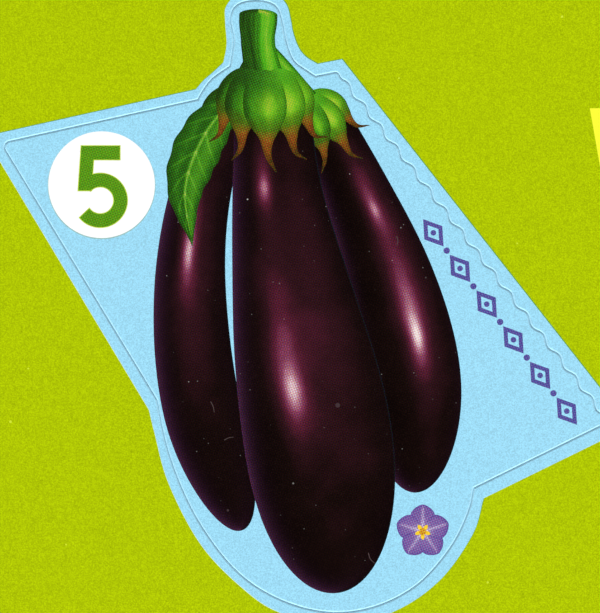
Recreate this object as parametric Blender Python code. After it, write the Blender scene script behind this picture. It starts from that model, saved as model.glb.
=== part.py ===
# A self-adhesive picture stamp, die-cut to the shape of its picture, still on a
# plainly cut piece of its printed sheet and that sheet's backing paper.
# Metres, +Z up, print side up. The origin is the middle of the backing's underside.
# The flat outlines are drawn in millimetres and their objects scaled to metres.

import math

import bpy
from mathutils import Vector

# Driving dimensions, in millimetres
SHEET_SIZE = (62.0, 60.0)  # the cut piece of sheet, along X and Y
BACKING_THICK = 0.08
GLUE_THICK = 0.02
PAPER_THICK = 0.09
LAYER_GAP = 0.005  # between layers that lie on each other
CUT_WIDTH = 0.06  # the line that the die leaves round the stamp
GLUE_SHRINK = 0.02  # the glue's edges stand back this far from the cut

# The stamp's outline, clockwise from its left corner
LEFT_CORNER = (-25.90, 13.80)
NECK_LEFT = [(-9.23, 17.49), (-8.83, 18.22), (-8.01, 19.28), (-6.50, 20.34)]
STEM_TAB = [
    (-6.50, 20.34), (-6.20, 22.60), (-6.48, 24.48), (-5.83, 25.57), (-4.21, 25.90), (-2.74, 25.50),
    (-2.17, 24.38), (-1.75, 22.36), (-1.12, 20.79), (-0.07, 19.98), (0.71, 19.46),
]
UPPER_CORNER = (2.54, 19.83)
RIGHT_CORNER = (25.53, -9.80)
ROUND_END = [
    (14.11, -15.41), (13.65, -17.40), (12.23, -20.30), (9.57, -23.39), (6.30, -25.25), (2.80, -25.94),
    (-0.65, -25.45), (-3.98, -23.96), (-6.60, -21.78), (-9.06, -18.43), (-10.74, -15.10), (-11.95, -11.60),
    (-12.70, -7.96),
]
CORNER_RADIUS = {LEFT_CORNER: 0.50, UPPER_CORNER: 0.35, RIGHT_CORNER: 0.22}

# The long right edge is a wave, like a row of perforations
WAVE_PITCH = 2.24
WAVE_HEIGHT = 0.19  # from the middle line to a crest
WAVE_FIRST_CREST = 3.62  # from the upper corner
WAVE_MARGIN = 0.30  # straight stretch at each corner
WAVE_FADE = 0.50  # and the stretch in which the wave reaches its height
WAVE_STEPS = 10  # points to a pitch

CURVE_STEP = 0.45  # length of the short straights that make up a curve
ARC_STEPS = 6  # straights in a rounded corner

MM = 0.001


def remove_everything():
    for old in list(bpy.data.objects):
        bpy.data.objects.remove(old)


def smooth_through(keys):
    """Points along a curve that passes through every key point."""
    ends = [2 * keys[0] - keys[1], *keys, 2 * keys[-1] - keys[-2]]
    points = []
    for before, start, end, after in zip(ends, ends[1:], ends[2:], ends[3:]):
        steps = max(1, round((end - start).length / CURVE_STEP))
        leave, arrive = (end - before) / 2, (after - start) / 2
        for i in range(steps):
            t = i / steps
            points.append(
                (2 * t**3 - 3 * t**2 + 1) * start + (t**3 - 2 * t**2 + t) * leave
                + (3 * t**2 - 2 * t**3) * end + (t**3 - t**2) * arrive
            )
    return [*points, keys[-1]]


def rounded_corner(before, corner, after, radius):
    """An arc that touches both edges of a corner."""
    back, ahead = (before - corner).normalized(), (after - corner).normalized()
    half = back.angle(ahead) / 2
    middle = corner + (back + ahead).normalized() * radius / math.sin(half)
    reach = radius / math.tan(half)
    first, last = corner + back * reach - middle, corner + ahead * reach - middle
    turn = first.angle_signed(last)
    arc = []
    for i in range(ARC_STEPS + 1):
        turned = -turn * i / ARC_STEPS
        c, s = math.cos(turned), math.sin(turned)
        arc.append(middle + Vector((first.x * c - first.y * s, first.x * s + first.y * c)))
    return arc


def waved_edge(start, end):
    """The wave between two corners, straight for a little at each end."""
    along = (end - start).normalized()
    outward = Vector((-along.y, along.x))
    length = (end - start).length
    waved = length - 2 * WAVE_MARGIN
    steps = round(waved / WAVE_PITCH * WAVE_STEPS)
    points = []
    for i in range(steps + 1):
        s = WAVE_MARGIN + waved * i / steps
        fade = min(1, (s - WAVE_MARGIN) / WAVE_FADE, (length - WAVE_MARGIN - s) / WAVE_FADE)
        crest = math.cos(2 * math.pi * (s - WAVE_FIRST_CREST) / WAVE_PITCH)
        points.append(start + along * s + outward * WAVE_HEIGHT * fade * crest)
    return points


def stamp_outline():
    """The middle of the die's cut, as a closed list of points."""
    left, upper, right = Vector(LEFT_CORNER), Vector(UPPER_CORNER), Vector(RIGHT_CORNER)
    neck, tab, end = ([Vector(p) for p in keys] for keys in (NECK_LEFT, STEM_TAB, ROUND_END))
    return [
        *rounded_corner(end[-1], left, neck[0], CORNER_RADIUS[LEFT_CORNER]),
        *smooth_through(neck)[:-1],
        *smooth_through(tab),
        *rounded_corner(tab[-1], upper, right, CORNER_RADIUS[UPPER_CORNER]),
        *waved_edge(upper, right),
        *rounded_corner(upper, right, end[0], CORNER_RADIUS[RIGHT_CORNER]),
        *smooth_through(end),
    ]


def grown(outline, distance):
    """A clockwise outline moved outward by a distance, or inward where it is negative."""
    moved = []
    for before, here, after in zip([outline[-1], *outline], outline, [*outline[1:], outline[0]]):
        into, out_of = (here - before).normalized(), (after - here).normalized()
        normals = Vector((-into.y, into.x)) + Vector((-out_of.y, out_of.x))
        mitre = normals.normalized()
        moved.append(here + mitre * distance / max(0.5, mitre.dot(Vector((-into.y, into.x)))))
    return moved


def sheet_outline(shrink=0.0):
    x, y = (side / 2 - shrink for side in SHEET_SIZE)
    return [Vector(corner) for corner in ((-x, -y), (-x, y), (x, y), (x, -y))]


def paint(name, colour, roughness, alpha=1.0):
    material = bpy.data.materials.new(name)
    material.use_nodes = True
    shader = material.node_tree.nodes["Principled BSDF"]
    shader.inputs["Base Color"].default_value = (*colour, 1.0)
    shader.inputs["Roughness"].default_value = roughness
    shader.inputs["Metallic"].default_value = 0.0
    shader.inputs["Alpha"].default_value = alpha
    material.diffuse_color = (*colour, 1.0)
    return material


def flat_layer(name, outlines, bottom, thick, material, collection):
    """A sheet with one outline, or with an outline and a hole, standing on the height given."""
    curve = bpy.data.curves.new(name, "CURVE")
    curve.dimensions = "2D"
    curve.fill_mode = "BOTH"
    curve.extrude = thick / 2
    for outline in outlines:
        spline = curve.splines.new("POLY")
        spline.points.add(len(outline) - 1)
        for point, place in zip(spline.points, outline):
            point.co = (place.x, place.y, 0.0, 1.0)
        spline.use_cyclic_u = True
    curve.materials.append(material)
    layer = bpy.data.objects.new(name, curve)
    layer.scale = (MM, MM, MM)
    layer.location = (0.0, 0.0, (bottom + thick / 2) * MM)
    collection.objects.link(layer)
    return layer


def build():
    remove_everything()
    collection = bpy.data.collections.new("die_cut_stamp_on_sheet")
    bpy.context.scene.collection.children.link(collection)
    backing = paint("backing_paper", (0.32, 0.70, 0.87), 0.40)
    glue = paint("glue", (0.90, 0.88, 0.78), 0.20, 0.6)
    stamp_print = paint("stamp_print", (0.34, 0.71, 0.89), 0.55)
    sheet_print = paint("sheet_print", (0.43, 0.55, 0.01), 0.55)

    cut = stamp_outline()
    inside, outside = grown(cut, -CUT_WIDTH / 2), grown(cut, CUT_WIDTH / 2)
    glue_level = BACKING_THICK + LAYER_GAP
    paper_level = glue_level + GLUE_THICK + LAYER_GAP

    flat_layer("backing", [sheet_outline()], 0.0, BACKING_THICK, backing, collection)
    flat_layer("stamp_glue", [grown(inside, -GLUE_SHRINK)], glue_level, GLUE_THICK, glue, collection)
    flat_layer(
        "surround_glue", [sheet_outline(GLUE_SHRINK), grown(outside, GLUE_SHRINK)],
        glue_level, GLUE_THICK, glue, collection,
    )
    flat_layer("stamp_paper", [inside], paper_level, PAPER_THICK, stamp_print, collection)
    flat_layer("surround_paper", [sheet_outline(), outside], paper_level, PAPER_THICK, sheet_print, collection)


build()
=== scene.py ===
import math

import bmesh
import bpy
import numpy as np
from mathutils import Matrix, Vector
from mathutils.geometry import delaunay_2d_cdt


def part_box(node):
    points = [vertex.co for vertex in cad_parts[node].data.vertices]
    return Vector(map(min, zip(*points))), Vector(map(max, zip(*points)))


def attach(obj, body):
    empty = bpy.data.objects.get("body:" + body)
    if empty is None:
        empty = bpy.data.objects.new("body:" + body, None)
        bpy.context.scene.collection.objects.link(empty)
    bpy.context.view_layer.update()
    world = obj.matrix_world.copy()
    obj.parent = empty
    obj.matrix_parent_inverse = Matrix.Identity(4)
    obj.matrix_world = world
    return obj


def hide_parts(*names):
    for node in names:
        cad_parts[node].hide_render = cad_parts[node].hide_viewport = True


# A die-cut picture stamp on its printed sheet: the layers come from the frame, and
# this script prints them. Flat places are in millimetres from the middle of the sheet.
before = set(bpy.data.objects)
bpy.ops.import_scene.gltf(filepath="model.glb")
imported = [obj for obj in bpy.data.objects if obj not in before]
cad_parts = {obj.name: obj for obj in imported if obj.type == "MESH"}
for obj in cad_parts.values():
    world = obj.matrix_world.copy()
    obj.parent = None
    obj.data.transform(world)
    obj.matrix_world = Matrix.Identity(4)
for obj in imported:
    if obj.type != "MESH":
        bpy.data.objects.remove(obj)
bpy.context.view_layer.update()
mm = 0.001


# Flat curves and outlines: arrays of points, outlines counterclockwise

def eased(t):
    return 3 * t**2 - 2 * t**3


def smoothThrough(keys, step=0.2):
    keys = np.array(keys, float)
    ends = np.vstack([2 * keys[0] - keys[1], keys, 2 * keys[-1] - keys[-2]])
    points = []
    for before, start, end, after in zip(ends, ends[1:], ends[2:], ends[3:]):
        count = max(2, round(np.linalg.norm(end - start) / step))
        t = np.linspace(0, 1, count, endpoint=False)[:, None]
        points.append(
            (2 * t**3 - 3 * t**2 + 1) * start + (t**3 - 2 * t**2 + t) * (end - before) / 2
            + eased(t) * end + (t**3 - t**2) * (after - start) / 2
        )
    return np.vstack([*points, keys[-1:]])


def counterclockwise(loop):
    x, y = loop[:, 0], loop[:, 1]
    area = (x * np.roll(y, -1) - y * np.roll(x, -1)).sum()
    return loop if area > 0 else loop[::-1]


def offsetLoop(loop, distance):  # outward where distance is positive
    ahead = np.roll(loop, -1, 0) - loop
    ahead /= np.linalg.norm(ahead, axis=1)[:, None]
    out = np.stack([ahead[:, 1], -ahead[:, 0]], 1)
    mitre = out + np.roll(out, 1, 0)
    mitre /= np.linalg.norm(mitre, axis=1)[:, None]
    return loop + mitre * distance / np.maximum(0.5, (mitre * out).sum(1))[:, None]


def withPoints(loop, extra):  # points put into the straight edges that they lie on
    for point in extra:
        bent = [np.linalg.norm(a - point) + np.linalg.norm(point - b) - np.linalg.norm(a - b)
                for a, b in zip(loop, np.roll(loop, -1, 0))]
        loop = np.insert(loop, int(np.argmin(bent)) + 1, point, axis=0)
    return loop


def distanceTo(loop, points):
    nearest = np.full(len(points), 1e9)
    for start, run in zip(loop, np.roll(loop, -1, 0) - loop):
        share = np.clip(((points - start) @ run) / (run @ run), 0, 1)
        nearest = np.minimum(nearest, np.linalg.norm(points - start - share[:, None] * run, axis=1))
    return nearest


# The outlines of a flat CAD node's upper face, the outer one first
def upperLoops(node):
    same = 1e-7
    work = bmesh.new()
    work.from_mesh(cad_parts[node].data)
    bmesh.ops.remove_doubles(work, verts=work.verts, dist=same)
    top = max(v.co.z for v in work.verts)
    upper = {f for f in work.faces if all(abs(v.co.z - top) < same for v in f.verts)}
    after = {}
    for face in upper:
        for loop in face.loops:
            if sum(f in upper for f in loop.edge.link_faces) == 1:
                after[loop.vert] = loop.link_loop_next.vert
    loops = []
    while after:
        here = next(iter(after))
        points = []
        while here in after:
            points.append((here.co.x / mm, here.co.y / mm))
            here = after.pop(here)
        loops.append(counterclockwise(np.array(points)))
    work.free()
    return sorted(loops, key=lambda loop: -np.ptp(loop[:, 0]))


# A printed shape knows its outline, its ink and, for any point, how far along it,
# how far across it (-1 to 1, 1 on the picture's right) and how deep inside its edge that is.
# Where it lies over an ink that its own dictionary names, it prints in the ink given there.
class Shape:
    def __init__(self, ink, outline, over=None):
        self.ink, self.over = ink, over or {}
        self.outline = counterclockwise(np.array(outline, float))

    def place(self, points):
        return np.stack([points[:, 0], points[:, 1], distanceTo(self.outline, points)], 1)


class Disc(Shape):
    def __init__(self, ink, centre, radius, steps=72):
        turn = np.linspace(0, 2 * math.pi, steps, endpoint=False)
        super().__init__(ink, np.array(centre) + radius * np.stack([np.cos(turn), np.sin(turn)], 1))


spineStep, leastWidth, leastStep = 0.05, 0.05, 1e-3  # of a ribbon's middle line, width and outline


class Ribbon(Shape):  # a width carried along a curved middle line
    def __init__(self, ink, keys, halfWidth, steps=90):
        self.spine = smoothThrough(keys, spineStep)
        self.run = np.gradient(self.spine, axis=0)
        self.run /= np.linalg.norm(self.run, axis=1)[:, None]
        lengths = np.linalg.norm(np.diff(self.spine, axis=0), axis=1)
        self.length = lengths.sum()
        self.share = np.concatenate([[0], lengths.cumsum()]) / self.length
        self.halfWidth = halfWidth
        share = 0.5 - 0.5 * np.cos(np.linspace(0, math.pi, steps))
        at = np.interp(share, self.share, np.arange(len(self.share)))
        middle = self.between(self.spine, at)
        side = self.between(self.run, at)
        right = np.stack([-side[:, 1], side[:, 0]], 1) * halfWidth(share)[:, None]
        outline = np.vstack([middle - right, (middle + right)[::-1]])
        step = np.linalg.norm(outline - np.roll(outline, 1, 0), axis=1)
        super().__init__(ink, outline[step > leastStep])

    def between(self, values, at):
        low = np.clip(at.astype(int), 0, len(values) - 2)
        return values[low] + (values[low + 1] - values[low]) * (at - low)[:, None]

    def place(self, points):
        nearest = np.array([np.argmin(((self.spine - p) ** 2).sum(1)) for p in points])
        gap = points - self.spine[nearest]
        run = self.run[nearest]
        along = np.clip(self.share[nearest] + (gap * run).sum(1) / self.length, 0, 1)
        off = run[:, 0] * gap[:, 1] - run[:, 1] * gap[:, 0]
        across = np.clip(off / np.maximum(self.halfWidth(along), leastWidth), -1, 1)
        return np.stack([along, across, distanceTo(self.outline, points)], 1)


# Half widths of a ribbon, for the share of its length

def roundStart(share, reach=0.06):
    return np.sqrt(np.clip(1 - np.clip(1 - share / reach, 0, 1) ** 2, 0, 1))


def fruitWidth(most, neck, belly=0.68, blunt=2.2):  # widest at the belly, round at both ends
    def width(share):
        body = neck + (most - neck) * eased(np.clip(share / belly, 0, 1))
        tail = np.sqrt(np.clip(1 - np.clip((share - belly) / (1 - belly), 0, 1) ** blunt, 0, 1))
        return body * roundStart(share) * tail
    return width


def leafWidth(most, fullest, teeth, depth, full=0.6, taper=1.15):  # pointed at the far end
    def width(share):
        swell = np.where(share < fullest, share / fullest, (1 - share) / (1 - fullest))
        swollen = np.sin(np.clip(swell, 0, 1) * math.pi / 2) ** np.where(share < fullest, full, taper)
        return most * swollen * (1 - depth * (0.5 - 0.5 * np.cos(2 * math.pi * teeth * share)))
    return width


lobeProfile = smoothThrough([
    (0, 0.5), (0.14, 0.85), (0.31, 1.0), (0.45, 0.92), (0.57, 0.62), (0.67, 0.33), (0.8, 0.17), (1, 0.02),
], step=0.02)


def lobeWidth(most):  # a broad lobe that tapers into a thin curled tip
    return lambda share: most * roundStart(share) * np.interp(share, lobeProfile[:, 0], lobeProfile[:, 1])


def petalWidth(most, lean=1.25, full=0.65):  # round at the far end
    return lambda share: most * np.sin(math.pi * np.clip(share, 0, 1) ** lean) ** full


def evenWidth(start, end):
    return lambda share: start + (end - start) * share


def stalkWidth(head, waist, foot, knob=0.12, neck=0.2, lower=0.4, flare=1.5):
    def width(share):  # a rounded knob, a waist and a wider foot
        fall = np.clip((share - knob) / neck, 0, 1)
        rise = np.clip((share - lower) / (1 - lower), 0, 1)
        return roundStart(share) * (head + (waist - head) * eased(fall) + (foot - waist) * rise**flare)
    return width


# The stamp's picture and small print, back to front
fruits = {
    "left": {"ink": "backFruitLeft", "most": 3.3, "neck": 2.3,
             "keys": [(-5.9, 18.0), (-8.8, 10.5), (-9.9, 1.5), (-8.9, -8.7), (-5.5, -19.0)]},
    "right": {"ink": "backFruitRight", "most": 4.1, "neck": 2.4,
              "keys": [(0.5, 17.2), (4.0, 10.0), (7.1, 2.0), (9.0, -6.5), (9.2, -15.8)]},
    "front": {"ink": "frontFruit", "most": 6.3, "neck": 3.3,
              "keys": [(-3.0, 17.2), (-2.4, 8.6), (-0.9, -1.0), (0.9, -11.0), (2.6, -24.3)]},
}
lobes = {  # the caps' lobes, each with its half width
    "left": [
        ("sepalDark", 1.15, [(-5.9, 18.3), (-7.3, 17.3), (-8.5, 15.6), (-9.3, 14.3), (-10.3, 13.9)]),
        ("sepalDark", 1.35, [(-5.9, 18.3), (-7.0, 16.5), (-7.6, 14.6), (-7.9, 13.2), (-8.5, 12.2)]),
    ],
    "right": [
        ("sepalLight", 1.10, [(0.0, 17.6), (1.7, 17.3), (3.1, 16.3), (4.2, 15.3), (5.3, 15.3)]),
        ("sepalLight", 1.35, [(-0.1, 17.6), (1.6, 16.0), (2.9, 14.2), (3.7, 12.9), (4.7, 12.5)]),
        ("sepalDark", 1.20, [(-0.2, 17.4), (0.7, 15.4), (1.3, 13.6), (1.5, 12.3), (1.2, 11.2)]),
    ],
    "front": [
        ("sepalDark", 1.50, [(-4.5, 19.8), (-5.9, 18.3), (-6.9, 16.2), (-7.4, 14.6), (-8.3, 13.9)]),
        ("sepalLight", 1.45, [(-2.6, 19.6), (-1.1, 18.0), (-0.1, 16.0), (0.6, 14.5), (1.7, 14.3)]),
        ("sepalDark", 1.75, [(-4.4, 20.0), (-5.1, 17.8), (-5.5, 15.3), (-5.6, 13.4), (-6.4, 12.3)]),
        ("sepalLight", 1.75, [(-2.9, 20.0), (-2.0, 17.6), (-1.4, 15.0), (-1.0, 13.1), (0.0, 12.4)]),
        ("sepal", 1.85, [(-3.7, 20.0), (-3.6, 17.6), (-3.4, 14.8), (-3.3, 12.8), (-2.6, 11.3)]),
    ],
}
stalks = {  # the main one and the two that lead behind it, each with its half widths
    "main": {"ink": "stalk", "width": (1.62, 1.45, 2.1),
             "keys": [(-4.1, 25.15), (-4.15, 22.4), (-3.8, 20.0), (-3.5, 17.0)]},
    "left": {"ink": "stalkDark", "width": (0.9, 1.0), "keys": [(-3.9, 21.4), (-4.8, 19.9), (-5.8, 17.8)]},
    "right": {"ink": "stalk", "width": (0.9, 1.0), "keys": [(-3.4, 21.4), (-1.9, 19.7), (0.0, 17.4)]},
}
lobesBehindStalk = 2
leaf = {"keys": [(-5.6, 18.2), (-8.6, 14.6), (-10.3, 10.0), (-9.7, 5.0)],
        "form": {"most": 2.1, "fullest": 0.42, "teeth": 7, "depth": 0.07}}


def sideStalk(side):
    stalk = stalks[side]
    return Ribbon(stalk["ink"], stalk["keys"], evenWidth(*stalk["width"]), steps=24)


def capShapes(name):
    cap = [Ribbon(ink, keys, lobeWidth(most), steps=60) for ink, most, keys in lobes[name]]
    if name == "front":
        main = stalks["main"]
        cap.insert(lobesBehindStalk, Ribbon(main["ink"], main["keys"], stalkWidth(*main["width"])))
    return cap


def fruitShapes():
    shapes = []
    for name, fruit in fruits.items():
        if name == "front":
            shapes += [sideStalk("left"), sideStalk("right")]
        shapes.append(Ribbon(fruit["ink"], fruit["keys"], fruitWidth(fruit["most"], fruit["neck"])))
        shapes += capShapes(name)
        if name == "left":
            shapes.append(Ribbon("leaf", leaf["keys"], leafWidth(**leaf["form"]), steps=120))
    return shapes


disc = {"centre": (-17.39, 10.27), "radius": 4.52, "shadeDrop": 0.05, "shadeRim": 0.04}


def discShapes():
    x, y = disc["centre"]
    return [Disc("discShade", (x, y - disc["shadeDrop"]), disc["radius"] + disc["shadeRim"]),
            Disc("paperWhite", (x, y), disc["radius"])]


numeral = {  # a five
    "flag": [(-19.1, 13.55), (-19.1, 12.40), (-15.85, 12.40), (-15.85, 13.55)],
    "stem": [(-19.1, 13.55), (-19.36, 9.78), (-18.26, 9.78), (-18.0, 13.55)],
    "bowl": {"centre": (-17.5, 8.95), "radius": 1.72, "turn": (134, -150, -11), "halfWidth": 0.56},
    "fringe": 0.07,
}


def numeralShapes():
    bowl = numeral["bowl"]
    (x, y), turns = bowl["centre"], np.radians(np.arange(*bowl["turn"]))
    keys = [(x + bowl["radius"] * math.cos(a), y + bowl["radius"] * math.sin(a)) for a in turns]
    strokes = [Shape("numeral", numeral["flag"]), Shape("numeral", numeral["stem"]),
               Ribbon("numeral", keys, evenWidth(bowl["halfWidth"], bowl["halfWidth"]), steps=60)]
    fringes = [Shape("numeralFringe", offsetLoop(stroke.outline, numeral["fringe"])) for stroke in strokes]
    return fringes + strokes


ornament = {"start": (10.7, 6.2), "end": (22.0, -8.9), "diamonds": 6, "long": 1.45, "wide": 0.95,
            "inner": 0.56, "dot": 0.27, "core": 0.24, "dotSteps": 20}


def ornamentShapes():  # a row of open diamonds with dots in and between them
    start, end = np.array(ornament["start"]), np.array(ornament["end"])
    step = (end - start) / (ornament["diamonds"] - 1)
    way = step / np.linalg.norm(step)
    side = np.array([-way[1], way[0]])
    long, wide, steps = way * ornament["long"], side * ornament["wide"], ornament["dotSteps"]
    shapes = []
    for i in range(ornament["diamonds"]):
        middle = start + step * i
        for ink, size in (("violetInk", 1), ("skyInk", ornament["inner"])):
            shapes.append(Shape(ink, [middle + spoke * size for spoke in (long, wide, -long, -wide)]))
        shapes.append(Disc("violetInk", middle, ornament["core"], steps))
        if i + 1 < ornament["diamonds"]:
            shapes.append(Disc("violetInk", middle + step / 2, ornament["dot"], steps))
    return shapes


flower = {"centre": (9.8, -19.1), "reach": 2.3, "petals": 5, "petalWidth": 0.45, "heart": 0.13,
          "anther": 0.3, "antherWidth": 0.075}


def flowerShapes():
    centre, reach = np.array(flower["centre"]), flower["reach"]
    turns = [math.radians(90 + 360 / flower["petals"] * i) for i in range(flower["petals"])]
    rays = [np.array([math.cos(turn), math.sin(turn)]) * reach for turn in turns]
    petal, anther = petalWidth(reach * flower["petalWidth"]), petalWidth(reach * flower["antherWidth"])
    petals = [Ribbon("petal", [centre, centre + ray / 2, centre + ray], petal, steps=50) for ray in rays]
    anthers = []
    for ray in rays:
        reached = ray * flower["anther"]
        anthers.append(Ribbon("pollen", [centre, centre - reached / 2, centre - reached], anther, steps=24))
    return [*petals, *anthers, Disc("pollenDark", centre, reach * flower["heart"], steps=30)]


marks = {  # lint and spots that the print picked up, each with its half width or radius
    "lint": [
        (0.035, [(-8.15, -8.1), (-7.95, -8.5), (-7.85, -9.0)]),
        (0.03, [(-7.0, -11.35), (-6.6, -11.15), (-6.2, -11.1)]),
        (0.035, [(5.2, -20.9), (5.35, -21.4), (5.75, -21.8)]),
        (0.035, [(7.6, 5.9), (7.7, 5.5), (7.6, 5.1)]),
    ],
    "lintTip": 0.6,
    "spots": [((2.6, -8.4), 0.2), ((-6.7, -17.3), 0.1)],
}


def markShapes():
    lint = []
    for width, keys in marks["lint"]:
        lint.append(Ribbon("lint", keys, evenWidth(width, width * marks["lintTip"]), steps=16))
    return lint + [Disc("spotInk", middle, radius, steps=16) for middle, radius in marks["spots"]]


def pictureShapes():
    smallPrint = [*discShapes(), *numeralShapes(), *ornamentShapes(), *flowerShapes()]
    return [*smallPrint, *fruitShapes(), *markShapes()]


bleed = {  # the blue ground runs on past the die's cut
    "leftCorner": [(-27.30, 14.42)],
    "neck": [(-9.40, 18.40), (-8.75, 19.15), (-8.00, 19.80), (-7.06, 20.68)],
    "tab": [
        (-7.06, 20.68), (-6.80, 22.20), (-6.92, 24.11), (-6.83, 25.43), (-5.67, 26.68), (-4.24, 26.98),
        (-2.80, 26.68), (-1.70, 25.60), (-1.34, 24.34), (-1.14, 23.26), (-0.71, 22.05), (-0.10, 21.22),
        (0.92, 20.56),
    ],
    "rightCorners": [(3.01, 20.96), (27.44, -10.16)],
    "roundEnd": [
        (15.01, -16.25), (14.05, -19.34), (11.27, -23.21), (7.40, -25.85), (2.80, -26.98), (-2.29, -25.95),
        (-5.67, -23.69), (-9.06, -20.07), (-11.72, -14.98), (-12.93, -10.62), (-13.38, -8.77),
    ],
}


def bleedOutline():
    neck, tab, roundEnd = (smoothThrough(bleed[part]) for part in ("neck", "tab", "roundEnd"))
    return np.vstack([bleed["leftCorner"], neck, tab[1:], bleed["rightCorners"], roundEnd])


# Shader values: one wrapped socket, with its sums written as sums
class Value:
    def __init__(self, finish, socket):
        self.finish, self.socket = finish, socket

    def sum(self, operation, *others, clamp=False):
        return self.finish.add("ShaderNodeMath", {"operation": operation, "use_clamp": clamp},
                               dict(enumerate((self, *others))))

    def __add__(self, other):
        return self.sum("ADD", other)

    def __radd__(self, other):
        return self.sum("ADD", other)

    def __sub__(self, other):
        return self.sum("SUBTRACT", other)

    def __rsub__(self, other):
        return self.finish.number("SUBTRACT", other, self)

    def __mul__(self, other):
        return self.sum("MULTIPLY", other)

    def __rmul__(self, other):
        return self.sum("MULTIPLY", other)

    def __truediv__(self, other):
        return self.sum("DIVIDE", other)

    def __rtruediv__(self, other):
        return self.finish.number("DIVIDE", other, self)

    def __pow__(self, other):
        return self.sum("POWER", other)

    def __rpow__(self, other):
        return self.finish.number("POWER", other, self)

    def __neg__(self):
        return self.sum("MULTIPLY", -1)

    def limited(self):
        return self.sum("ADD", 0, clamp=True)

    def size(self):
        return self.sum("ABSOLUTE")


processInks = {  # what each leaves of red, green and blue light, its rows' angle and its dots' contrast
    "cyan": {"tone": (0.00, 0.57, 0.83), "angle": 15, "depth": 1.6},
    "magenta": {"tone": (0.82, 0.00, 0.28), "angle": 75, "depth": 4.2},
    "yellow": {"tone": (0.95, 0.74, 0.00), "angle": 0, "depth": 2.0},
}
dotPitch = 0.135
leastShare = 0.004  # less ink than this isn't printed
inkRounds = 40  # each one works out every ink afresh from the others
paperTone = (0.93, 0.93, 0.925)
lightLevel = 1.066  # the studio light on the paper, which makes it white


def linear(colour):
    return [(((c / 255 + 0.055) / 1.055) ** 2.4 if c > 10 else c / 255 / 12.92) / lightLevel for c in colour]


# The share of the paper that an ink's dots cover, for the share that is asked of them
asked = np.linspace(0, 1, 101)


def coverTable(depth):
    rows = np.cos(np.linspace(0, 2 * math.pi, 80, endpoint=False))
    swings = ((rows[:, None] + rows) / 2).ravel() * depth
    return np.clip(asked[:, None] + (asked * (1 - asked))[:, None] * swings, 0, 1).mean(1)


for ink in processInks.values():
    ink["covered"] = coverTable(ink["depth"])


# How much of the three inks gives a colour, stated as seen on a screen from 0 to 255
def inksFor(colour):
    want, used = linear(colour), list(processInks.values())
    covers = [0.0, 0.0, 0.0]
    for _ in range(inkRounds):
        for i in range(3):
            rest = paperTone[i]
            for other, ink in enumerate(used):
                if other != i:
                    rest *= 1 - covers[other] * (1 - ink["tone"][i])
            covers[i] = min(1.0, max(0.0, 1 - want[i] / rest))
    return (*(float(np.interp(cover, ink["covered"], asked)) for cover, ink in zip(covers, used)), 1.0)


surface = {  # the paper's tooth and the grain of what is printed on it
    "shine": 0.02, "scale": 8.5, "height": 3e-6, "grain": 0.55,
    "cloud": 0.12, "cloudScale": 2.3, "inkCloud": 0.5, "inkCloudScale": 1.8,
    "pinholes": 0.018, "pinholeTone": (0.86, 0.42, 0.3, 1.0),  # there the last ink is missing
}
dust = {
    "tone": (0.9, 0.88, 0.84, 1.0), "core": 1.6, "rarity": 3.0,
    "grains": [  # cells to a millimetre, a grain's reach in millimetres, its share at most
        (0.34, 0.06, 0.95),
        (0.6, 0.05, 0.6),
        (1.1, 0.04, 0.3),
    ],
}


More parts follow.
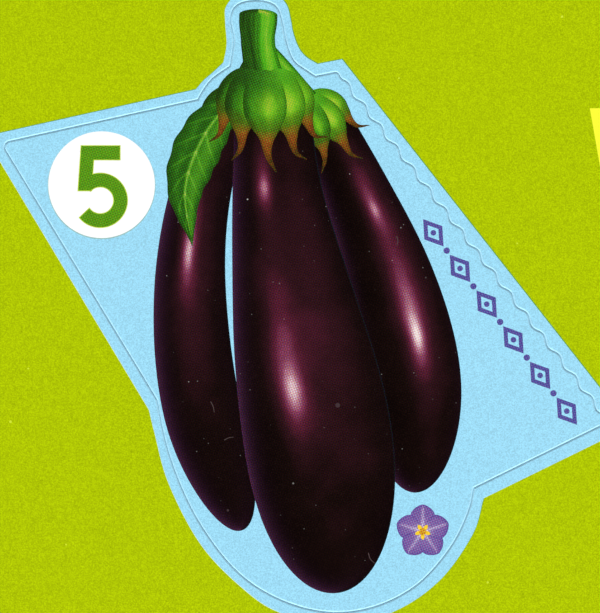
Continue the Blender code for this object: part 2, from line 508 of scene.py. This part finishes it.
class Finish:
    def __init__(self, name, roughness=0.5, tooth=1.0):
        self.material = bpy.data.materials.new(name)
        self.material.use_nodes = True
        self.tree = self.material.node_tree
        self.shader = self.tree.nodes["Principled BSDF"]
        self.shader.inputs["Specular IOR Level"].default_value = surface["shine"]
        self.shader.inputs["Roughness"].default_value = roughness
        coordinates = self.add("ShaderNodeTexCoord", out="Object")
        self.flat = self.scaled(coordinates, 1 / mm)
        self.fine = self.noise(surface["scale"])
        if tooth:
            height = {"Height": self.fine, "Distance": surface["height"] * tooth, "Strength": 1.0}
            self.feed(self.shader.inputs["Normal"], self.add("ShaderNodeBump", {}, height))

    def add(self, kind, settings=None, values=None, out=0):
        made = self.tree.nodes.new(kind)
        for key, value in (settings or {}).items():
            if key == "stops":
                self.setStops(made.color_ramp, value)
            else:
                setattr(made, key, value)
        for key, value in (values or {}).items():
            self.feed(made.inputs[key], value)
        return Value(self, made.outputs[out])

    def feed(self, socket, value):
        if isinstance(value, Value):
            self.tree.links.new(value.socket, socket)
        else:
            socket.default_value = value

    def setStops(self, ramp, stops):
        while len(ramp.elements) < len(stops):
            ramp.elements.new(1.0)
        for element, (at, colour) in zip(ramp.elements, stops):
            element.position, element.color = at, colour

    def number(self, operation, *values):
        return self.add("ShaderNodeMath", {"operation": operation}, dict(enumerate(values)))

    def scaled(self, vector, factor):
        return self.add("ShaderNodeVectorMath", {"operation": "SCALE"}, {0: vector, "Scale": factor})

    def parts(self, kind, value):
        split = self.add(kind, {}, {0: value})
        return [Value(self, split.socket.node.outputs[i]) for i in range(3)]

    def noise(self, scale, detail=1.0, where=None):
        links = {"Vector": where or self.flat, "Scale": scale, "Detail": detail}
        return self.add("ShaderNodeTexNoise", {}, links) - 0.5

    def mixed(self, share, first, second, blend="MIX"):
        return self.add("ShaderNodeMix", {"data_type": "RGBA", "blend_type": blend},
                        {0: share, 6: first, 7: second}, out=2)

    def ramp(self, value, stops):  # ink shares for colours that are stated as seen
        shares = [(at, inksFor(colour)) for at, colour in stops]
        return self.add("ShaderNodeValToRGB", {"stops": shares}, {0: value.limited()})

    def hill(self, value, middle, width):  # 1 at the middle, falling off on both sides
        away = (value - middle) / width
        return self.number("EXPONENT", -(away * away))

    def nearEdge(self, depth, width):  # 1 at a shape's edge, falling off inward
        return self.number("EXPONENT", -(depth / width))

    def place(self):  # along, across and depth, as the printed shape gave them
        attribute = self.add("ShaderNodeAttribute", {"attribute_name": "inkPlace"}, out="Vector")
        return self.parts("ShaderNodeSeparateXYZ", attribute)

    def grained(self, colour, grain=1.0):
        cloud = self.noise(surface["cloudScale"], 2.0) * surface["cloud"]
        shade = 1 + (self.fine * surface["grain"] + cloud) * grain
        self.feed(self.shader.inputs["Base Color"], self.scaled(colour, shade))
        return self.material

    def dots(self, angle):  # two crossed rows of waves, from -2 to 2
        waves, pace = [], 2 * math.pi / dotPitch
        for turn in (math.radians(angle), math.radians(angle + 90)):
            row = (math.cos(turn) * pace, math.sin(turn) * pace, 0)
            along = self.add("ShaderNodeVectorMath", {"operation": "DOT_PRODUCT"},
                             {0: self.flat, 1: row}, out="Value")
            waves.append(along.sum("COSINE"))
        return waves[0] + waves[1]

    # Lays cyan, magenta and yellow on the paper, each through its own rows of dots
    def printed(self, inks, dusty=False):
        cloud = self.noise(surface["inkCloudScale"], 2.0) * surface["inkCloud"]
        shares = self.parts("ShaderNodeSeparateColor", inks) if isinstance(inks, Value) else inks[:3]
        laid = (*paperTone, 1.0)
        for share, ink in zip(shares, processInks.values()):
            if not isinstance(share, Value) and share < leastShare:
                continue
            swing = self.dots(ink["angle"]) * (ink["depth"] / 2)
            part = share if isinstance(share, Value) else self.number("ADD", share, 0)
            present = (part + part * (1 - part) * (swing + cloud)).limited()
            laid = self.mixed(present, laid, (*ink["tone"], 1.0), "MULTIPLY")
        for scale, reach, most in dust["grains"] if dusty else []:
            laid = self.mixed(self.specks(scale, reach) * most, laid, dust["tone"])
        pinholes = (self.fine * surface["pinholes"]).limited()
        return self.grained(self.mixed(pinholes, laid, surface["pinholeTone"]))

    def specks(self, scale, reach):  # one grain of dust to a cell, some hardly there
        cells = self.add("ShaderNodeTexVoronoi", {}, {"Vector": self.flat, "Scale": scale})
        tint = self.parts("ShaderNodeSeparateColor", Value(self, cells.socket.node.outputs["Color"]))[0]
        return (dust["core"] - cells / (reach * scale)).limited() * tint ** dust["rarity"]


skin = {  # a pair is a hill's middle and width
    "roughness": 0.42, "tooth": 0.7, "least": 0.01,
    "stops": [(0.0, (9, 3, 2)), (0.14, (20, 8, 7)), (0.3, (46, 18, 25)), (0.46, (84, 29, 48)),
              (0.62, (128, 60, 88)), (0.78, (176, 120, 138)), (0.9, (212, 178, 184)), (1.0, (236, 220, 216))],
    "bodyAcross": (0.42, 0.52), "bodyAlong": (0.42, 0.5), "glowAlong": (0.45, 0.36), "glow": 0.22,
    "cloudScale": 0.2, "cloud": 0.22, "smallCloudScale": 0.5, "smallCloud": 0.05,
    "rimTone": (84, 46, 80), "rimShare": 0.3, "rimRise": 5,  # the rim starts below the stalk
    "edgeTone": (20, 32, 42), "edgeWidth": 0.08, "edgeShare": 0.6, "edgeRise": 3,  # on the right only
}
gleam = {  # how far back toward the stalk it lies and how long it is, in lengths of its spot
    "fade": {"back": 1.1, "long": 1.3, "share": 0.16},
    "streak": {"back": 0, "long": 1, "share": 0.34},
    "hot": {"back": 0, "long": 0.4, "share": 0.34, "off": 0.02, "width": 0.55},
}
fruitLooks = {  # a spot is a gleam: its place along the fruit, its length and its strength
    "frontFruit": {"streak": -0.26, "bend": 0.12, "body": 0.26, "glowWidth": 0.48, "streakWidth": 0.22,
                   "rim": 0.5, "rimSide": 0.3, "spots": [(0.17, 0.06, 0.8), (0.58, 0.11, 0.92)]},
    "backFruitLeft": {"streak": -0.12, "bend": -0.1, "body": 0.15, "glowWidth": 0.52, "streakWidth": 0.24,
                      "rim": 0.5, "rimSide": 0.3, "spots": [(0.37, 0.1, 0.8)]},
    "backFruitRight": {"streak": 0.24, "bend": -0.1, "body": 0.2, "glowWidth": 0.5, "streakWidth": 0.21,
                       "rim": 0.36, "rimSide": 0.26, "spots": [(0.3, 0.06, 0.6), (0.62, 0.1, 0.92)]},
}


def fruitSkin(name, look):
    finish = Finish(name, skin["roughness"], skin["tooth"])
    along, across, depth = finish.place()
    bend = look["streak"] + look["bend"] * (along - 0.5)
    body = finish.hill(across, *skin["bodyAcross"]) * finish.hill(along, *skin["bodyAlong"]) * look["body"]
    wide = finish.hill(across - bend, 0, look["glowWidth"]) * finish.hill(along, *skin["glowAlong"])
    narrow = finish.hill(across - bend, 0, look["streakWidth"])
    hot = finish.hill(across - bend, gleam["hot"]["off"], look["streakWidth"] * gleam["hot"]["width"])
    light = skin["least"] + body + wide * skin["glow"]
    light = light + finish.noise(skin["cloudScale"], 2.0) * skin["cloud"]
    for at, length, strength in look["spots"]:
        for part, band in (("fade", narrow), ("streak", narrow), ("hot", hot)):
            form = gleam[part]
            spot = finish.hill(along, at - length * form["back"], length * form["long"])
            light = light + spot * band * (form["share"] * strength)
    light = light + finish.noise(skin["smallCloudScale"], 2.0) * skin["smallCloud"]
    tone = finish.ramp(light, skin["stops"])
    side = skin["rimShare"] - across * look["rimSide"]
    rim = finish.nearEdge(depth, look["rim"]) * side * (along * skin["rimRise"]).limited()
    tone = finish.mixed(rim.limited(), tone, inksFor(skin["rimTone"]))
    edge = finish.hill(depth, 0.0, skin["edgeWidth"]) * (across * skin["edgeRise"]).limited()
    tone = finish.mixed(edge * skin["edgeShare"], tone, inksFor(skin["edgeTone"]))
    return finish.printed(tone, dusty=True)


sepal = {  # a kind has its material's name and its lightness, and a pair is a hill's middle and width
    "kinds": {
        "sepal": ("sepalGreen", 0.26),
        "sepalLight": ("sepalLight", 0.36),
        "sepalDark": ("sepalDark", 0.12),
    },
    "stops": [(0.0, (22, 44, 12)), (0.2, (40, 84, 18)), (0.45, (70, 140, 24)), (0.72, (112, 184, 32)),
              (1.0, (160, 214, 50))],
    "domeAcross": (0.2, 0.6), "domeAlong": (0.35, 0.18), "dome": 0.6,
    "ribs": {"count": 9, "wander": 3, "scale": 1.2, "share": 0.05},
    "cloud": {"scale": 1.6, "share": 0.16, "rootShare": 0.3}, "grain": {"scale": 5.0, "share": 0.12},
    "rootStops": [(0.0, (36, 78, 18)), (0.5, (52, 112, 24)), (1.0, (82, 166, 30))],  # as the stalk is there
    "rootFrom": -5.3, "rootWide": 3.0, "rootLength": 0.24,  # across the sheet, then along the lobe
    "olive": {"tone": (84, 104, 20), "from": 0.44, "fade": 0.16, "cloud": 0.6, "share": 0.8},
    "tip": {"from": 0.58, "fade": 0.12, "cloud": 0.7, "toneScale": 3.0, "toneCloud": 0.5,
            "stops": [(0.6, (150, 92, 28)), (0.85, (130, 66, 24)), (1.0, (84, 42, 24))]},
    "turnScale": 2.0,  # the clouds in which the green turns to olive and to brown
    "edgeTone": (34, 50, 10), "edgeWidth": 0.22, "edgeShare": 0.7,
}


def sepalGreen(name, lift):
    finish = Finish(name)
    along, across, depth = finish.place()
    ribs, cloud, grain, olive, tip = (sepal[part] for part in ("ribs", "cloud", "grain", "olive", "tip"))
    dome = finish.hill(across, *sepal["domeAcross"]) * finish.hill(along, *sepal["domeAlong"])
    wander = finish.noise(ribs["scale"]) * ribs["wander"]
    ribLight = (across * ribs["count"] + wander).sum("SINE") * ribs["share"]
    light = dome * sepal["dome"] + lift + ribLight + finish.noise(cloud["scale"], 2.0) * cloud["share"]
    light = light + finish.noise(grain["scale"]) * grain["share"]
    green = finish.ramp(light, sepal["stops"])
    sheetX = finish.parts("ShaderNodeSeparateXYZ", finish.flat)[0]
    rootLight = (sheetX - sepal["rootFrom"]) / sepal["rootWide"]
    rootLight = rootLight + finish.noise(cloud["scale"], 2.0) * cloud["rootShare"]
    top = finish.hill(along, 0.0, sepal["rootLength"])
    green = finish.mixed(top, green, finish.ramp(rootLight, sepal["rootStops"]))
    under = (along - olive["from"]) / olive["fade"] + finish.noise(sepal["turnScale"]) * olive["cloud"]
    green = finish.mixed(under.limited() * olive["share"], green, inksFor(olive["tone"]))
    turned = (along - tip["from"]) / tip["fade"] + finish.noise(sepal["turnScale"]) * tip["cloud"]
    brown = finish.ramp(along + finish.noise(tip["toneScale"]) * tip["toneCloud"], tip["stops"])
    green = finish.mixed(turned.limited(), green, brown)
    edge = finish.nearEdge(depth, sepal["edgeWidth"]) * sepal["edgeShare"] * (1 - top)
    return finish.printed(finish.mixed(edge.limited(), green, inksFor(sepal["edgeTone"])))


stalkTones = {  # kinds and pairs as in the sepals
    "kinds": {"stalk": ("stalkGreen", 0.1), "stalkDark": ("stalkDark", 0.0)},
    "stops": [(0.0, (26, 52, 14)), (0.3, (46, 100, 20)), (0.6, (72, 166, 26)), (0.85, (112, 200, 38)),
              (1.0, (176, 222, 70))],
    "fibres": {"across": 7, "along": 1.6, "share": 0.75}, "grain": {"scale": 5.0, "share": 0.1},
    "litAcross": (0.45, 0.5), "lit": 0.72,
    "cutAlong": (0.0, 0.05), "cutAcross": (0.5, 0.5), "cut": 0.3,  # its cut end is lighter
    "edgeTone": (30, 58, 12), "edgeWidth": 0.16, "edgeShare": 0.5,
}


def stalkGreen(name, lift):
    finish = Finish(name)
    along, across, depth = finish.place()
    fibres, grain = stalkTones["fibres"], stalkTones["grain"]
    drawn = {0: across * fibres["across"], 1: along * fibres["along"], 2: 0.0}
    streaks = finish.noise(1.0, 2.0, finish.add("ShaderNodeCombineXYZ", {}, drawn)) * fibres["share"]
    light = finish.hill(across, *stalkTones["litAcross"]) * stalkTones["lit"] + lift + streaks
    light = light + finish.noise(grain["scale"]) * grain["share"]
    cut = finish.hill(along, *stalkTones["cutAlong"]) * finish.hill(across, *stalkTones["cutAcross"])
    green = finish.ramp(light + cut * stalkTones["cut"], stalkTones["stops"])
    edge = finish.nearEdge(depth, stalkTones["edgeWidth"]) * stalkTones["edgeShare"]
    return finish.printed(finish.mixed(edge.limited(), green, inksFor(stalkTones["edgeTone"])))


leafTones = {  # a band has a hill's middle and width across the leaf, and its share
    "stops": [(0.0, (22, 50, 14)), (0.3, (42, 98, 20)), (0.6, (80, 152, 32)), (1.0, (168, 212, 88))],
    "bands": {"lit": ((0.4, 0.45), 0.34), "turned": ((-0.5, 0.25), 0.16), "rib": ((0.0, 0.07), 0.4)},
    "veins": {"count": 8, "slant": 1.3, "form": (0.5, 0.09), "fade": 0.6, "share": 0.2},
    "least": 0.16, "cloud": {"scale": 1.3, "share": 0.2}, "grain": {"scale": 5.0, "share": 0.1},
    "edgeTone": (30, 54, 14), "edgeWidth": 0.12, "edgeShare": 0.7,
}


def leafGreen():
    finish = Finish("leafGreen")
    along, across, depth = finish.place()
    veins, cloud, grain = leafTones["veins"], leafTones["cloud"], leafTones["grain"]
    rows = (along * veins["count"] - across.size() * veins["slant"]).sum("FRACT")
    drawn = finish.hill(rows, *veins["form"]) * (1 - across.size() * veins["fade"])
    lit, turned, rib = (finish.hill(across, *form) * share for form, share in leafTones["bands"].values())
    light = lit + turned + leafTones["least"] + finish.noise(cloud["scale"], 3.0) * cloud["share"]
    light = light + finish.noise(grain["scale"]) * grain["share"] + drawn * veins["share"] + rib
    green = finish.ramp(light, leafTones["stops"])
    edge = finish.nearEdge(depth, leafTones["edgeWidth"]) * leafTones["edgeShare"]
    return finish.printed(finish.mixed(edge.limited(), green, inksFor(leafTones["edgeTone"])))


petalTones = {  # a pair is a hill's middle and width
    "stops": [(0.0, (84, 62, 156)), (0.5, (134, 106, 200)), (1.0, (208, 190, 236))],
    "least": 0.36, "ribAcross": (0.0, 0.16), "rib": 0.3, "heartAlong": (0.1, 0.26), "heart": 0.3,
    "cloudScale": 2.0, "cloud": 0.2, "edgeTone": (80, 60, 152), "edgeWidth": 0.16, "edgeShare": 0.7,
}


def petalViolet():
    finish = Finish("petalViolet")
    along, across, depth = finish.place()
    rib = finish.hill(across, *petalTones["ribAcross"]) * petalTones["rib"]
    heart = finish.hill(along, *petalTones["heartAlong"]) * petalTones["heart"]
    light = petalTones["least"] + rib + heart
    cloud = finish.noise(petalTones["cloudScale"]) * petalTones["cloud"]
    violet = finish.ramp(light + cloud, petalTones["stops"])
    edge = finish.nearEdge(depth, petalTones["edgeWidth"]) * petalTones["edgeShare"]
    return finish.printed(finish.mixed(edge.limited(), violet, inksFor(petalTones["edgeTone"])))


dottedInks = {  # colours printed in dots, as seen
    "pollen": (244, 204, 50),
    "pollenDark": (206, 150, 40),
    "numeral": (88, 146, 24),
    "violetInk": (88, 82, 176),
}
solidInks = {  # colours laid on whole, as seen, and how grainy they are
    "lint": {"colour": (84, 70, 70), "grain": 1.0},
    "spotInk": {"colour": (66, 50, 54), "grain": 1.0},
    "skyInk": {"colour": (156, 217, 242), "grain": 1.2},
    "fieldInk": {"colour": (173, 195, 3), "grain": 1.8},
    # painted highlight: the rolled edges of every cut are a paler blue, partly their own tone and partly
    # painted light that makes their lit side read brighter
    "edgeInk": {"colour": (172, 222, 243), "grain": 1.0},
    "fleck": {"colour": (212, 230, 56), "grain": 0.6},
    "slipTone": {"colour": (228, 244, 196), "grain": 0.6},
    "sunInk": {"colour": (252, 253, 58), "grain": 0.2},
    "paperWhite": {"colour": (254, 254, 253), "grain": 0.1},
    "numeralFringe": {"colour": (196, 218, 70), "grain": 1.0},
    "overlap": {"colour": (98, 152, 60), "grain": 1.0},
    "discShade": {"colour": (150, 190, 186), "grain": 1.0},
}
papers = {
    "paperCore": {"colour": (232, 240, 247), "roughness": 0.8, "cloud": 0.05},
    "backing": {"colour": (158, 224, 247), "roughness": 0.4, "cloud": 0.03},
    "glue": {"colour": (184, 216, 230), "roughness": 0.2, "cloud": 0.06},
}
paperShine, paperTooth, paperCloudScale = 0.4, 2.0, 1.4


def plainPaper(name, paper):
    finish = Finish(name, paper["roughness"], paperTooth)
    finish.shader.inputs["Specular IOR Level"].default_value = paperShine
    cloud = 1 + (finish.noise(paperCloudScale, 3.0) * paper["cloud"] + finish.fine * paper["cloud"])
    finish.feed(finish.shader.inputs["Base Color"], finish.scaled(linear(paper["colour"]), cloud))
    return finish.material


def makeFinishes():
    finishes = {name: fruitSkin(name, look) for name, look in fruitLooks.items()}
    for ink, (name, lift) in sepal["kinds"].items():
        finishes[ink] = sepalGreen(name, lift)
    for ink, (name, lift) in stalkTones["kinds"].items():
        finishes[ink] = stalkGreen(name, lift)
    finishes["leaf"], finishes["petal"] = leafGreen(), petalViolet()
    for name, colour in dottedInks.items():
        finishes[name] = Finish(name).printed(inksFor(colour))
    for name, solid in solidInks.items():
        finishes[name] = Finish(name).grained(linear(solid["colour"]), solid["grain"])
    for name, paper in papers.items():
        finishes[name] = plainPaper(name, paper)
    print(f"finishes: {len(finishes)}")
    return finishes


shoulder = [(0.105, 0.0), (0.08, 0.011), (0.035, 0.036), (0.0, 0.058)]  # how an edge is rolled: in, down
nearness = 1e-5  # points closer than this are one


# A printed paper: its upper face is cut into the shapes of its inks, and its edges are
# rolled down where the die or the knife went through
class Paper:
    def __init__(self, node, ground, edges, shapes, crossings=()):
        self.node, self.ground, self.edges, self.shapes = node, ground, edges, shapes
        loops = upperLoops(node)
        loops[0] = withPoints(loops[0], crossings)
        low, high = (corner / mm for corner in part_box(node))
        self.top = high.z
        self.rings = []
        for i, loop in enumerate(loops):
            inward = -1 if i == 0 else 1
            rolled = [(offsetLoop(loop, inward * inset), high.z - drop) for inset, drop in shoulder]
            self.rings.append([*rolled, (loop, low.z)])
        inks = [ground, *filter(None, edges), *(shape.ink for shape in shapes), "paperCore"]
        inks += [ink for shape in shapes for ink in shape.over.values()]
        self.slots = list(dict.fromkeys(inks))
        self.polygons, self.material = [], []

    def inPaper(self, inside):  # within the outer ring and in no hole
        return 0 in inside and not any(hole in inside for hole in range(1, len(self.rings)))

    def addFace(self, corners, slot):
        self.polygons.append(corners)
        self.material.append(slot)

    def cutFace(self, between):
        outlines = [ring[0][0] for ring in self.rings] + [shape.outline for shape in self.shapes]
        faces, start = [], 0
        for outline in outlines:
            faces.append(list(range(start, start + len(outline))))
            start += len(outline)
        points = [Vector(p) for p in np.vstack([*outlines, *between])]
        made = delaunay_2d_cdt(points, [], faces, 0, nearness, True)
        flat, triangles, cameFrom, within = np.array([tuple(v) for v in made[0]]), made[2], made[3], made[5]
        self.vertices = [(x, y, self.top) for x, y in flat]
        self.newIndex = {old: new for new, olds in enumerate(cameFrom) for old in olds}
        owned = {i: [] for i in range(len(self.shapes))}
        for triangle, inside in zip(triangles, within):
            if not self.inPaper(inside):
                continue
            over = [i - len(self.rings) for i in inside if i >= len(self.rings)]
            if over:
                owned[max(over)].append(len(self.polygons))
            self.addFace(list(triangle), self.slots.index(self.inkOver(over)))
        self.placeInks(owned, flat)

    def inkOver(self, over):  # the ink of the uppermost shape
        if not over:
            return self.ground
        shape = self.shapes[max(over)]
        under = [self.shapes[i].ink for i in over if i != max(over)]
        return next((shape.over[ink] for ink in under if ink in shape.over), shape.ink)

    def placeInks(self, owned, flat):  # each corner's place within its own shape
        self.places = np.zeros((len(self.polygons) * 3, 3), np.float32)
        for i, faces in owned.items():
            if faces:
                corners = np.array([3 * f + k for f in faces for k in range(3)])
                used = np.array([v for f in faces for v in self.polygons[f]])
                kept, back = np.unique(used, return_inverse=True)
                self.places[corners] = self.shapes[i].place(flat[kept])[back]

    def rollEdges(self):
        beside = {}
        for face, slot in zip(self.polygons, self.material):
            for a, b in zip(face, face[1:] + face[:1]):
                beside[frozenset((a, b))] = slot
        core = self.slots.index("paperCore")
        first = 0
        self.lowest = []
        for ring, edge in zip(self.rings, self.edges):
            count = len(ring[0][0])
            before = [self.newIndex[first + k] for k in range(count)]
            first += count
            # an edge given no paler ink with painted highlight of its own carries on with the ink beside it
            own = [self.slots.index(edge) if edge else beside[frozenset((before[k], before[(k + 1) % count]))]
                   for k in range(count)]
            for level, (loop, height) in enumerate(ring[1:]):
                here = list(range(len(self.vertices), len(self.vertices) + count))
                self.vertices += [(x, y, height) for x, y in loop]
                for k in range(count):
                    after = (k + 1) % count
                    slot = own[k] if level + 2 < len(ring) else core
                    self.addFace([before[k], here[k], here[after], before[after]], slot)
                before = here
            self.lowest.append(before)

    def closeBelow(self):
        faces, start = [], 0
        for ring in self.lowest:
            faces.append(list(range(start, start + len(ring))))
            start += len(ring)
        points = [Vector(p) for ring in self.rings for p in ring[-1][0]]
        made = delaunay_2d_cdt(points, [], faces, 0, nearness, True)
        names = [v for ring in self.lowest for v in ring]
        for triangle, inside in zip(made[2], made[5]):
            if self.inPaper(inside):
                corners = [names[made[3][v][0]] for v in reversed(triangle)]
                self.addFace(corners, self.slots.index("paperCore"))

    def makeMesh(self, name, finishes):
        mesh = bpy.data.meshes.new(name)
        mesh.from_pydata([tuple(c * mm for c in v) for v in self.vertices], [], self.polygons)
        mesh.polygons.foreach_set("material_index", self.material)
        attribute = mesh.attributes.new("inkPlace", "FLOAT_VECTOR", "CORNER")
        values = np.zeros((len(mesh.loops), 3), np.float32)
        values[:len(self.places)] = self.places
        attribute.data.foreach_set("vector", values.ravel())
        for slot in self.slots:
            mesh.materials.append(finishes[slot])
        cleaned = bmesh.new()
        cleaned.from_mesh(mesh)
        loose = [v for v in cleaned.verts if not v.link_faces]
        bmesh.ops.delete(cleaned, geom=loose, context="VERTS")
        bmesh.ops.recalc_face_normals(cleaned, faces=cleaned.faces)
        cleaned.to_mesh(mesh)
        cleaned.free()
        return mesh

    def build(self, name, finishes, between=()):
        self.cutFace(between)
        self.rollEdges()
        self.closeBelow()
        mesh, node = self.makeMesh(name, finishes), self.node
        piece = bpy.data.objects.new(name, mesh)
        bpy.context.scene.collection.objects.link(piece)
        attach(piece, "root")
        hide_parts(node)
        "stamp_print" if node == "stamp_paper" else "sheet_print"
        print(f"{name}: {len(self.shapes)} printed shapes, {len(mesh.polygons)} faces")


sheetPrint = {
    "slip": (-0.03, -0.045), "trim": 0.02,  # the plates don't quite meet
    "patch": [(23.95, 16.74), (31.5, 16.74), (31.5, 4.0), (26.2, 4.0)],  # yellow ground, off the sheet's edge
    "crossings": [(31.0, 16.74), (31.0, 4.0)],  # where the patch leaves the sheet
    "flecks": [((-25.1, -9.8), 0.11), ((-23.6, -5.3), 0.08), ((21.6, 24.5), 0.1), ((17.8, 5.3), 0.07),
               ((-20.4, -20.2), 0.07), ((15.3, -23.4), 0.09), ((7.8, 19.3), 0.07)],
}


def makeSurround(finishes):
    blue = bleedOutline()
    slipped = offsetLoop(counterclockwise(blue), -sheetPrint["trim"]) + np.array(sheetPrint["slip"])
    shapes = [Shape("slipTone", slipped), Shape("overlap", blue, {"slipTone": "skyInk"}),
              Shape("sunInk", sheetPrint["patch"])]
    shapes += [Disc("fleck", middle, radius, steps=12) for middle, radius in sheetPrint["flecks"]]
    sheet = Paper("surround_paper", "fieldInk", [None, "edgeInk"], shapes, sheetPrint["crossings"])
    sheet.build("sheetFace", finishes)


pictureGrid = {"low": (-14, -26), "high": (14, 26), "step": 0.42, "rowStep": 0.87}  # keeps triangles small


def gridPoints():
    (x0, y0), (x1, y1), step = pictureGrid["low"], pictureGrid["high"], pictureGrid["step"]
    rows = enumerate(np.arange(y0, y1, step * pictureGrid["rowStep"]))
    return np.array([(x + (row % 2) * step / 2, y) for row, y in rows for x in np.arange(x0, x1, step)])


def makeStamp(finishes):
    stamp = Paper("stamp_paper", "skyInk", ["edgeInk"], pictureShapes())
    stamp.build("stampFace", finishes, [gridPoints()])


layers = {"backing": "backing", "stamp_glue": "glue", "surround_glue": "glue"}


def dressLayers(finishes):
    for node, finish in layers.items():
        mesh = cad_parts[node].data
        mesh.materials.clear()
        mesh.materials.append(finishes[finish])
    print(f"layers below the papers: {len(layers)}")


view = {"rows": 613, "pixel": 0.0847, "middle": (-0.59, -0.04), "distance": 0.6}  # a pixel's millimetres


def makeCamera():
    camera = bpy.data.cameras.new("camera")
    height = view["rows"] * view["pixel"] * mm
    camera.lens = camera.sensor_width * view["distance"] / height
    holder = bpy.data.objects.new("camera", camera)
    holder.location = (view["middle"][0] * mm, view["middle"][1] * mm, view["distance"])
    bpy.context.scene.collection.objects.link(holder)
    bpy.context.scene.camera = holder
    print(f"camera: lens {camera.lens:.0f} mm")


lamps = {
    "low": {"at": (0.0, -2.85, 1.38), "size": 1.2, "power": 150.0},
    "right": {"at": (0.65, 0.05, 0.45), "size": 0.5, "power": 1.35},
    "left": {"at": (-0.65, 0.05, 0.45), "size": 0.5, "power": 1.0},
    "far": {"at": (0.05, 0.65, 0.45), "size": 0.5, "power": 0.88},
}
room = {"colour": (0.93, 0.94, 0.95, 1.0), "strength": 0.24}
floorLook = {"size": 3.0, "height": -0.00002, "roughness": 0.7, "shade": 0.78, "cloud": 0.03,
             "cloudScale": 0.02}


def makeLamps():
    for name, lamp in lamps.items():
        light = bpy.data.lights.new(name, "AREA")
        light.size = lamp["size"]
        light.energy = lamp["power"]
        holder = bpy.data.objects.new(name, light)
        holder.location = lamp["at"]
        holder.rotation_euler = (-Vector(lamp["at"])).to_track_quat("-Z", "Y").to_euler()
        bpy.context.scene.collection.objects.link(holder)


def makeFloor():
    bpy.ops.mesh.primitive_plane_add(size=floorLook["size"], location=(0, 0, floorLook["height"]))
    floor = bpy.context.object
    floor.name = "floor"
    finish = Finish("floorPale", floorLook["roughness"], 0)
    shade = floorLook["shade"] + finish.noise(floorLook["cloudScale"], 2.0) * floorLook["cloud"]
    grey = finish.add("ShaderNodeCombineColor", {}, {0: shade, 1: shade, 2: shade})
    finish.feed(finish.shader.inputs["Base Color"], grey)
    floor.data.materials.append(finish.material)


def makeStudio():
    makeLamps()
    world = bpy.data.worlds.new("studio")
    world.use_nodes = True
    world.node_tree.nodes["Background"].inputs["Color"].default_value = room["colour"]
    world.node_tree.nodes["Background"].inputs["Strength"].default_value = room["strength"]
    bpy.context.scene.world = world
    bpy.context.scene.view_settings.view_transform = "Standard"
    makeFloor()
    print(f"studio: {len(lamps)} lamps and a floor")


makeCamera()
makeStudio()
finishes = makeFinishes()
dressLayers(finishes)
makeSurround(finishes)
makeStamp(finishes)
